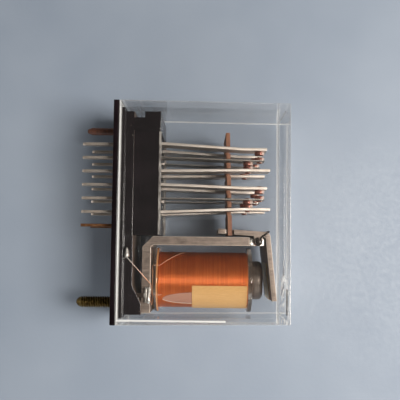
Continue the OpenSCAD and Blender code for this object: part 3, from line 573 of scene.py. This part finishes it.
# %% [markdown]
# ## Softened edges
#
# No real edge is perfectly sharp, and it is the rounded edge that catches light. The modifiers
# below leave the construction's own mesh as it is: Weld joins the corners that the file format
# keeps apart, Bevel rounds edges steeper than 40 degrees, and a small node group makes the
# shading smooth wherever two faces meet at less than 35 degrees. Weighted Normal then lets the
# large faces decide how light falls on a shared edge, so that flat walls mirror like flat walls.

# %% Modifiers that soften a piece
BEVEL_ABOVE, SMOOTH_BELOW = math.radians(40), math.radians(35)


def smoothing_group():
    group = bpy.data.node_groups.new("smooth shading below a limit", "GeometryNodeTree")
    for way in ("INPUT", "OUTPUT"):
        group.interface.new_socket("Geometry", in_out=way, socket_type="NodeSocketGeometry")
    start, end, angle, sharp, normals = [group.nodes.new(kind) for kind in (
        "NodeGroupInput", "NodeGroupOutput", "GeometryNodeInputMeshEdgeAngle",
        "FunctionNodeCompare", "GeometryNodeSetMeshNormal")]
    sharp.operation = "GREATER_THAN"
    sharp.inputs[1].default_value = SMOOTH_BELOW
    normals.inputs["Remove Custom"].default_value = True
    group.links.new(angle.outputs["Unsigned Angle"], sharp.inputs[0])
    group.links.new(sharp.outputs[0], normals.inputs["Edge Sharpness"])
    group.links.new(start.outputs[0], normals.inputs["Mesh"])
    group.links.new(normals.outputs["Mesh"], end.inputs[0])
    return group


smoothing = smoothing_group()


def soften(piece):
    """Smooth shading below the limit, with flat faces kept flat."""
    piece.modifiers.new("smooth", "NODES").node_group = smoothing
    weighted = piece.modifiers.new("flat faces first", "WEIGHTED_NORMAL")
    weighted.keep_sharp, weighted.weight = True, 100


def dress(name, material, edge_mm, steps=2):
    """Gives a carried-over piece its material and rounds its edges."""
    piece = nodes[name]
    piece.material_slots[0].material = material
    piece.modifiers.new("weld", "WELD").merge_threshold = 0.001 * MM
    if edge_mm:
        bevel = piece.modifiers.new("edges", "BEVEL")
        bevel.width, bevel.segments = edge_mm * MM, steps
        bevel.angle_limit, bevel.use_clamp_overlap = BEVEL_ABOVE, False
    soften(piece)


print("rounds edges above", round(math.degrees(BEVEL_ABOVE)), "degrees")

# %% [markdown]
# ## Dressing the pieces
#
# Each piece that keeps its shape gets its material and the width of its rounded edges in mm.
# Moulded edges are the roundest, most punched ones half as round, and foil, winding and label
# have none.

# %% Dress the carried-over pieces
columns = [f"{s}_{c}" for s in "ab" for c in ("front", "back")]
single_pieces = [
    ("base", phenolic, 0.12), ("spring_block", phenolic, 0.12),
    ("block_edge_strips", edge_fibre, 0.05), ("guide_peg", brown_phenolic, 0.1),
    ("comb", hard_paper, 0.04), ("armature", yoke_iron, 0.08), ("armature_shim", shim_bronze, 0.0),
    ("hinge_pin", dark_wire, 0.06), ("hinge_bearing", bright_steel, 0.05), ("yoke", yoke_iron, 0.1),
    ("core", core_iron, 0.08), ("bobbin", acetate, 0.12), ("winding_bulk", enamel, 0.0),
    ("coil_label", paper, 0.0), ("coil_pin_start", tinned, 0.05),
    ("coil_pin_finish", tinned, 0.05),
    ("make_contacts", rivets, 0.05), ("break_contacts", rivets, 0.05)]
column_pieces = [("make_spring_", nickel_silver, 0.06), ("break_spring_", nickel_silver, 0.06),
                 ("blade_pin_", nickel_silver, 0.06), ("blade_contacts_", rivets, 0.05)]
for name, material, edge in single_pieces:
    dress(name, material, edge)
dress("cover", clear, 0.16, steps=3)
for column in columns:
    for name, material, edge in column_pieces:
        dress(name + column, material, edge)
print("dressed", len(single_pieces) + 1 + len(column_pieces) * len(columns), "carried-over pieces")

# %% [markdown]
# ## Meshes from rings
#
# The finer pieces are long and thin, so most of their meshes are rings of points that follow one
# another, with faces between each ring and the next.

# %% Helpers for meshes
def in_scene(name, data):
    """An object in the scene with this data, such as a mesh or a lamp."""
    thing = bpy.data.objects.new(name, data)
    bpy.context.scene.collection.objects.link(thing)
    return thing


def mesh_object(name, vertices, faces, material, smooth=True):
    mesh = bpy.data.meshes.new(name)
    mesh.from_pydata([tuple(v) for v in vertices], [], faces)
    mesh.update()
    mesh.validate()
    if smooth:
        mesh.polygons.foreach_set("use_smooth", [True] * len(mesh.polygons))
    mesh.materials.append(material)
    return in_scene(name, mesh)


def joined_rings(first, rings, around, turned=False):
    """Faces between rings of points that follow one another, from the point with this number."""
    faces = []
    for a in range(first, first + (rings - 1) * around, around):
        b = a + around
        for k, n in zip(range(around), [*range(1, around), 0]):
            faces.append((a + k, b + k, b + n, a + n) if turned else (a + k, a + n, b + n, b + k))
    return faces


print("two rings of four points are joined by", len(joined_rings(0, 2, 4)), "faces")

# %% [markdown]
# ## The moving blades
#
# A blade is a strip 0.2 mm thick, clamped at its root, that really bends. In the construction it
# turns about its root; here each blade is one strip, straight at its root, slanting along its
# length and flat at its end. The strip is built station by station along X: four corners at each
# station, with the tip's corners rounded by narrowing the width.

# %% Build the blades
def blade_level(x, root_x, root_y, tip_y, tip_x):
    """Height of the strip's middle in mm: straight root, slanting length, flat end."""
    straight, bend, flat = 0.6, 1, 4.2
    flat_start = tip_x - flat
    corners = [(root_x, root_y), (root_x + straight, root_y),
               (flat_start - bend, tip_y + (root_y - tip_y) * 0.08), (flat_start, tip_y), (tip_x, tip_y)]
    for (x0, y0), (x1, y1) in zip(corners, corners[1:]):
        if x <= x1:
            return y0 + (y1 - y0) * (x - x0) / (x1 - x0)
    return tip_y


def make_blade(column):
    lowest, highest = [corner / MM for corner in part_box("blade_" + column)]
    half_thick, sunk, tip_r, lengths, bend_end = 0.1, 0.08, 0.5, 56, 20.0
    root_y, tip_y = highest.y - half_thick, lowest.y + half_thick
    middle_z, half_wide = (lowest.z + highest.z) / 2, (highest.z - lowest.z) / 2
    even = highest.x - lowest.x - (tip_r - sunk)
    stations = [lowest.x - sunk + i * even / lengths for i in range(lengths + 1)]
    stations += [highest.x - tip_r * (1 - math.sin(a * math.pi / 16)) for a in range(1, 9)]
    vertices = []
    for x in stations:
        y = blade_level(max(x, lowest.x), lowest.x, root_y, tip_y, highest.x)
        past = max(0.0, x - (highest.x - tip_r)) / tip_r
        w = half_wide - tip_r * (1 - math.sqrt(max(0.0, 1 - past * past)))
        for up, side in ((1, -1), (1, 1), (-1, 1), (-1, -1)):
            vertices.append(Vector((x, y + up * half_thick, middle_z + side * w)) * MM)
    last = 4 * (len(stations) - 1)
    faces = [(0, 1, 2, 3), *joined_rings(0, len(stations), 4, turned=True),
             (last + 3, last + 2, last + 1, last)]
    blade = mesh_object("bending_blade_" + column, vertices, faces, blade_strip, smooth=False)
    bevel = blade.modifiers.new("edges", "BEVEL")
    bevel.width, bevel.segments, bevel.angle_limit = 0.03 * MM, 1, BEVEL_ABOVE
    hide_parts("blade_" + column)
    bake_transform(blade)
    return blade


for column in columns:
    made = make_blade(column)
    print(made.name, "has", len(made.data.polygons), "faces")

# %% [markdown]
# ## The winding
#
# Real wire for a coil of this size is finer than a tenth of a millimetre. A turn every 0.15 mm
# is the coarsest that still reads as a wound surface at this distance. The wire is one long
# tube along a helix: rings of six points, each joined to the next.

# %% Wind the wire
def tube(name, path, radius, material, across, sides=6):
    """A tube along a path of points in mm; across gives each ring's first direction."""
    vertices = []
    count = len(path)
    for i, point in enumerate(path):
        ahead = (path[min(i + 1, count - 1)] - path[max(i - 1, 0)]).normalized()
        up = across(point)
        up = (up - up.dot(ahead) * ahead).normalized()
        side = up.cross(ahead)
        for k in range(sides):
            a = 2 * math.pi * k / sides
            vertices.append((point + radius * (math.cos(a) * up + math.sin(a) * side)) * MM)
    faces = joined_rings(0, count, sides)
    faces += [tuple(range(sides))[::-1], tuple(range((count - 1) * sides, count * sides))]
    return mesh_object(name, vertices, faces, material)


def from_coil_axis(point):
    return Vector((0, point.y - coil_y, point.z))


layer_low, layer_high = [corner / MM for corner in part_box("winding_outer_layer")]
coil_y = (layer_low.y + layer_high.y) / 2
outer_r = (layer_high.y - layer_low.y) / 2
wire_r, turn_step, per_turn = 0.07, 0.15, 36
bulk_low, bulk_high = [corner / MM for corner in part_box("winding_bulk")]
turn_count = int((bulk_high.x - bulk_low.x - 2 * wire_r) / turn_step)
helix = []
for i in range(turn_count * per_turn + 1):
    a = 2 * math.pi * i / per_turn
    r = outer_r - wire_r
    helix.append(Vector((bulk_low.x + wire_r + turn_step * i / per_turn,
                         coil_y - r * math.sin(a), r * math.cos(a))))
winding = tube("fine_winding", helix, wire_r, enamel, from_coil_axis)
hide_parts("winding_outer_layer")
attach(winding, "frame_body")
print("winding:", turn_count, "turns,", len(winding.data.polygons), "faces")

# %% [markdown]
# ## The coil's leads
#
# Each lead leaves its tag, runs behind the bobbin's flange, goes through a hole in it and meets
# the winding. The points are the construction's own. A wire is pulled round corners, not folded,
# so each corner gives way to two points 0.15 mm before and after it.

# %% Leads as curves
def wire_curve(name, points, radius, material, handle="AUTO"):
    curve = bpy.data.curves.new(name, "CURVE")
    curve.dimensions = "3D"
    curve.bevel_depth = radius * MM
    curve.bevel_resolution = 3
    curve.use_fill_caps = True
    curve.resolution_u = 8
    spline = curve.splines.new("BEZIER")
    spline.bezier_points.add(len(points) - 1)
    for spot, point in zip(spline.bezier_points, points):
        spot.co = Vector(point) * MM
        spot.handle_left_type = spot.handle_right_type = handle
    curve.materials.append(material)
    thing = in_scene(name, curve)
    return thing


def coil_point(x, r, angle):
    """A point beside the coil: distance from its axis, and angle from +Z towards -Y."""
    a = math.radians(angle)
    return (x, coil_y - r * math.sin(a), r * math.cos(a))


def rounded(points, reach=0.15, most=0.22):
    """Puts two points in place of each corner, this far from it, so a curve stays near its lines."""
    result = [Vector(points[0])]
    for before, corner, after in zip(points, points[1:], points[2:]):
        before, corner, after = Vector(before), Vector(corner), Vector(after)
        for end in (before, after):
            result.append(corner.lerp(end, min(most, reach / (corner - end).length)))
    return result + [Vector(points[-1])]


behind_flange, in_hole_r, last_turns = 7.05, 5.64, 7
on_winding = outer_r + 0.13
start_path = rounded([
    (2.6, -8.1, 7.9), (7.0, coil_y - 0.55, 7.4), coil_point(behind_flange, 6.7, 17),
    coil_point(behind_flange, in_hole_r, 27.5), coil_point(8.3, in_hole_r, 27.5),
    coil_point(8.7, on_winding, 28.5)])
finish_path = rounded([
    (6.65, -15.8, 7.22), (behind_flange, -16.0, 7.22), (behind_flange, -16.65, 6.65),
    coil_point(behind_flange, 6.2, 44), coil_point(behind_flange, 4.6, 38),
    coil_point(behind_flange, 4.5, 12), coil_point(behind_flange, 4.6, -14),
    coil_point(behind_flange, in_hole_r, -30), coil_point(8.02, in_hole_r, -30)]
    + [coil_point(8.3 + 4.4 * i / 6, on_winding, -31 - 7 * i) for i in range(last_turns)])
for name, path in (("start", start_path), ("finish", finish_path)):
    lead = wire_curve("lead_wire_" + name, path, 0.065, lead_copper,
                      handle="VECTOR")
    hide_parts("lead_" + name)
    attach(lead, "frame_body")
    print(lead.name, "runs through", len(path), "points")

# %% [markdown]
# ## The fixing stud
#
# A thread could be cut with a boolean, but it is cheaper as relief: a grid round the shank,
# whose radius rises and falls once per pitch and moves on by one pitch for each turn. The
# thread is M2.2, so its pitch is 0.45 mm, and it fades out at the tip and at the base. Inside
# the base the shank is a plain stack of rings: a thick foot, a neck through the yoke's leg and
# the riveted head behind it.

# %% Thread the stud
def threaded_stud():
    low, high = [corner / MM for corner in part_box("fixing_stud")]
    middle_y = (low.y + high.y) / 2
    major, root, pitch = 1.1, 0.86, 0.45
    around, step = 40, 0.06
    tip, thread_end, dome_length = low.x, -0.35, 1.4
    rows = int(-tip / step)
    plain = [(0.0, 1.3), (5.2, 1.3), (5.2, 0.9), (6.8, 0.9), (6.8, 1.37), (6.95, 1.4), (7.1, 1.2),
             (7.1, 0.02)]
    vertices = []

    def ring_point(x, r, turn):
        a = 2 * math.pi * turn
        vertices.append(Vector((x, middle_y + r * math.cos(a), r * math.sin(a))) * MM)

    for i in range(rows + 1):
        x = tip - tip * i / rows
        dome = math.sqrt(max(0.0, 1 - (1 - min(1.0, (x - tip) / dome_length)) ** 2))
        fade = min(1.0, max(0.0, (x - tip - 0.7) / 0.5)) * min(1.0, max(0.0, (thread_end - x) / 0.3))
        for k in range(around):
            turn = k / around
            wave = abs(((x / pitch - turn) % 1.0) * 2 - 1)
            r = root + (major - root) * (fade * min(1.0, 1.25 * wave) + (1 - fade) * 0.75)
            if x > thread_end:
                r = major
            ring_point(x, r * max(dome, 0.02), turn)
    for x, r in plain:
        for k in range(around):
            ring_point(x, r, k / around)
    last = rows * around
    end = last + len(plain) * around
    faces = [*joined_rings(0, rows + 1, around, turned=True), tuple(range(around)),
             *joined_rings(last, len(plain) + 1, around, turned=True),
             tuple(range(end, end + around))[::-1]]
    return mesh_object("threaded_stud", vertices, faces, bronzed)


stud = threaded_stud()
soften(stud)
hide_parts("fixing_stud")
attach(stud, "frame_body")
print("stud:", len(stud.data.polygons), "faces")

# %% [markdown]
# ## Solder
#
# Solder creeps up a tag and along a wire, then sets with a concave skirt. Each joint is a lathed
# drop along Y, narrow where it climbs and full below, pushed in and out a little by noise. At
# the first tag the cut end of the lead stands out at one side.

# %% Solder joints
def drop(vertices, faces, centre, profile, around=20):
    """Adds one lathed drop: its profile is a list of places along Y and radii, in mm."""
    start = len(vertices)
    for y, r in profile:
        for k in range(around):
            a = 2 * math.pi * k / around
            point = Vector((r * math.cos(a), y, 0.9 * r * math.sin(a)))
            push = 1 + 0.16 * noise.noise(point * 2.3 + Vector(centre))
            vertices.append((Vector(centre) + Vector((point.x * push, point.y, point.z * push))) * MM)
    faces += joined_rings(start, len(profile), around)
    faces.append(tuple(range(start, start + around))[::-1])
    faces.append(tuple(range(len(vertices) - around, len(vertices))))


points, faces = [], []
drop(points, faces, (2.6, -7.3, 7.9),
     [(-0.98, 0.08), (-0.9, 0.3), (-0.7, 0.46), (-0.45, 0.5), (-0.1, 0.44), (0.25, 0.34),
      (0.6, 0.27), (0.85, 0.2), (1.0, 0.08)])
drop(points, faces, (6.55, -15.6, 7.12),
     [(-0.85, 0.06), (-0.7, 0.24), (-0.45, 0.36), (-0.1, 0.42), (0.3, 0.36), (0.7, 0.26),
      (1.05, 0.16), (1.2, 0.06)])
joints = mesh_object("solder_drops", points, faces, solder)
fuller = joints.modifiers.new("fuller", "SUBSURF")
fuller.levels = fuller.render_levels = 1
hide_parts("solder_joints")
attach(joints, "frame_body")
tail = wire_curve("lead_cut_end", [(2.45, -7.9, 7.95), (2.2, -8.3, 8.0), (1.85, -8.35, 7.9)],
                  0.09, solder)
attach(tail, "frame_body")
print("solder:", len(joints.data.polygons), "faces before subdivision")

# %% [markdown]
# ## The bail
#
# A wire bail lies over the armature's bend and is ringed round both ends of the hinge pin. As a
# curve, its rings and its bar are one wire, as on the real one. Each ring follows a circle a
# little wider than the pin.

# %% Bend the bail
pin_low, pin_high = [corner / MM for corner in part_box("hinge_pin")]
pin_x, pin_y = (pin_low.x + pin_high.x) / 2, (pin_low.y + pin_high.y) / 2
bail_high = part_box("armature_bail")[1] / MM
ring_z, ring_r, ring_sweep, steps, wire_inset = 7.2, 0.62, math.radians(320), 14, 0.16
corner_x, corner_y = bail_high.x - wire_inset, bail_high.y - wire_inset
lean = math.atan2(corner_y - pin_y, corner_x - pin_x)
bail_points = []
for side in (1, -1):
    ring = []
    for i in range(steps + 1):
        a = lean - ring_sweep * (1 - i / steps)
        ring.append((pin_x + ring_r * math.cos(a), pin_y + ring_r * math.sin(a), side * ring_z))
    ring.append((corner_x - 0.18 * math.cos(lean), corner_y - 0.18 * math.sin(lean), side * ring_z))
    ring.append((corner_x, corner_y, side * (ring_z - 0.2)))
    bail_points += ring if side == 1 else ring[::-1]
bail = wire_curve("spring_bail", bail_points, 0.14, dark_wire)
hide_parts("armature_bail")
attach(bail, "armature_body")
print("bail:", len(bail_points), "points, bar", round(2 * (ring_z - 0.2), 1), "mm wide")

# %% [markdown]
# ## The varnish on the winding
#
# A brush of shellac holds the last turns down beside the label. It dried as a thin, cloudy film
# with a rounded end, and ran a little, so its lower rim is a thicker bead, painted pale and nearly
# opaque: a painted highlight. The film is a grid in length and angle that ends at the label's
# edge, and the bead is a tube along the rim. Shellac this thin hides only a part of the wire,
# which a low Alpha gives.

# %% Varnish film and its run
def shellac(name, pale, dark, least, most):
    made = new_material(name, IOR=1.52)
    ripple = grain(made, 2.5, 1.6, 1.6)
    surface_from(made, ripple, pale, dark, 0.28, 0.4, 0.004)
    feed(made, Alpha=add(made, "MapRange", (ripple, *MIDDLE, least, most)))
    return made


def varnish_film(start_x, middle_x, end_x, middle_angle, half_angle, thick, material):
    """The varnish from its tip at start_x to end_x, and the path of its lower rim in mm."""
    vertices, faces, rim_path = [], [], []
    stations, across = 20, 12
    for layer in (1, 0):
        for i in range(stations + 1):
            x = start_x + (end_x - start_x) * (1 - math.cos(math.pi / 2 * i / stations))
            reach = half_angle * math.sqrt(max(0.02, 1 - ((middle_x - x) / (middle_x - start_x)) ** 2))
            for k in range(across + 1):
                side = -math.cos(math.pi * k / across)
                r = outer_r + (0.01 + layer * thick * math.sqrt(1 - side ** 4))
                vertices.append(Vector(coil_point(x, r, middle_angle + reach * side)) * MM)
            if layer:
                rim_path.append(Vector(coil_point(x, outer_r + 0.02, middle_angle + reach)))
    row, sheet = across + 1, (stations + 1) * (across + 1)
    for i in range(stations):
        for k in range(across):
            a, b = i * row + k, (i + 1) * row + k
            faces += [(a, a + 1, b + 1, b), (sheet + a, sheet + b, sheet + b + 1, sheet + a + 1)]
    for a in list(range(across)) + [stations * row + k for k in range(across)]:
        faces.append((a, a + 1, sheet + a + 1, sheet + a))
    return mesh_object("varnish_film", vertices, faces, material), rim_path


film_shellac = shellac("shellac, brushed thin", "e6b79e", "d9a488", 0.4, 0.5)
# Painted highlight: the bead along the lower rim is pale and nearly opaque
highlight_shellac = shellac("shellac, run thick, painted highlight", "fbe6d2", "f0cfb4", 0.75, 0.95)
label_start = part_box("coil_label")[0].x / MM
varnish, rim_path = varnish_film(8.9, 15.4, label_start - 0.03, 38.5, 15.5, 0.06, film_shellac)
varnish.modifiers.new("weld", "WELD").merge_threshold = 0.0005 * MM
run = tube("varnish_run_painted_highlight", rim_path, 0.07, highlight_shellac, from_coil_axis)
for piece in (varnish, run):
    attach(piece, "frame_body")
    print(piece.name, "has", len(piece.data.polygons), "faces")

# %% [markdown]
# ## The table
#
# The relay lies on its side on a painted, blue-grey table. Rolled paint has a faint orange-peel
# relief, a slow drift of tone and a few small dark chips. The table lies a hair below the cover,
# because two faces in one plane would flicker through each other.

# %% Table top
paint = new_material("table paint, rolled", IOR=1.5)
drift = coloured(paint, grain(paint, 30), "9ca9ba", "aab6c5")
rolled = grain(paint, 0.8, detail=5)
chips = specks(paint, 7.0, 9, 0.0, 0.06, (0.5, 0.8))
feed(paint,
     Base_Color=coloured(paint, chips, drift, "4a5260", None),
     Roughness=add(paint, "MapRange", (rolled, *MIDDLE, 0.42, 0.6)),
     Normal=add(paint, "Bump", {"Height": rolled, "Distance": 0.02 * MM}))
size, floor_z = 600 * MM, cad_box[0][2] - 0.03 * MM
floor = mesh_object("table_top", [
    (-size, -size, floor_z), (size, -size, floor_z), (size, size, floor_z), (-size, size, floor_z)],
    [(0, 1, 2, 3)], paint, smooth=False)
print("floor at", round(floor_z / MM, 2), "mm")

# %% [markdown]
# ## Lamps
#
# One softbox stands like a window to the right, about 60 degrees up, and throws the broad soft
# shadow to the left of the base. Three large cards are weak and wide: one at the left, one at the
# right and one beyond the coil's end. They fill the shadows, and metal and cover mirror them as
# broad, dim planes. A small, strong card would show in the cover's side as a solid white slab.

# %% Lamps
def lamp(name, place_mm, size_mm, watts, colour):
    light = bpy.data.lights.new(name, "AREA")
    light.shape = "RECTANGLE"
    light.size, light.size_y = [s * MM for s in size_mm]
    light.energy = watts
    light.color = linear(colour)[:3]
    thing = in_scene(name, light)
    thing.location = Vector(place_mm) * MM
    ahead = (Vector(relay_middle) - Vector(place_mm)).normalized()
    thing.rotation_euler = ahead.to_track_quat("-Z", "Y").to_euler()


relay_middle = (14, -2, 0)
lamp("window_softbox", (150, -15, 240), (90, 150), 0.68, "fffaf4")
lamp("left_card", (-260, 10, 60), (120, 260), 0.075, "fff4ea")
lamp("right_card", (300, 0, 100), (220, 260), 0.19, "fff6ee")
lamp("near_card", (10, -290, 130), (480, 250), 0.38, "ffffff")

# %% [markdown]
# ## The room
#
# The camera looks almost straight down at a flat, shiny wall, which mirrors whatever is straight
# above. So the room is kept dark overhead and pale towards the horizon, and the inside stays
# clear to see. What the camera and glass see near the horizon is a pale backdrop that lights
# nothing; metal and the cover's mirror see it at a third of its strength, or their edges would
# outshine all else.

# %% World
world = bpy.data.worlds.new("dark above, pale around")
bpy.context.scene.world = world
world.use_nodes = True
upward = add(world, "SeparateXYZ", [add(world, "TexCoord", out="Generated")], "Z")
glow = add(world, "MapRange", (upward, 0.55, 0.95, 0.14, 0.02))
ray = add(world, "LightPath").node.outputs
mirrored = add(world, "MapRange", (ray["Is Glossy Ray"], *WHOLE, 0, 0.35))
looking = combined(world, "MAXIMUM", (mirrored, ray["Is Camera Ray"], ray["Is Transmission Ray"]))
near_horizon = add(world, "MapRange", (upward, 0.15, 0.5, 0.45, 0))
backdrop = add(world, "Math", (looking, near_horizon), operation="MULTIPLY")
sky = world.node_tree.nodes["Background"].inputs
world.node_tree.links.new(add(world, "Math", (glow, backdrop), operation="ADD"), sky["Strength"])
sky["Color"].default_value = linear("e9e6e2")
bpy.context.scene.view_settings.view_transform = "Standard"
print("world:", world.name)

# %% [markdown]
# ## The camera
#
# The camera was found by matching corners of the cover, the pins, the springs and the coil in
# the photograph to the same corners of the relay. Its focal length belongs to a square frame.

# %% Camera
turn = Vector((0.071, 0.0041, 0.011))
camera_data = bpy.data.cameras.new("photo_view")
camera_data.sensor_width = 36
camera_data.lens = 56.16
camera_data.clip_start, camera_data.clip_end = 0.005, 5
camera = in_scene("photo_view", camera_data)
camera.matrix_world = (Matrix.Translation(Vector((16.10, -5.71, 119.76)) * MM)
                       @ Matrix.Rotation(turn.length, 4, turn.normalized()))
bpy.context.scene.camera = camera
print("camera at", [round(v / MM, 1) for v in camera.location])

# %% Finish
bpy.context.view_layer.update()
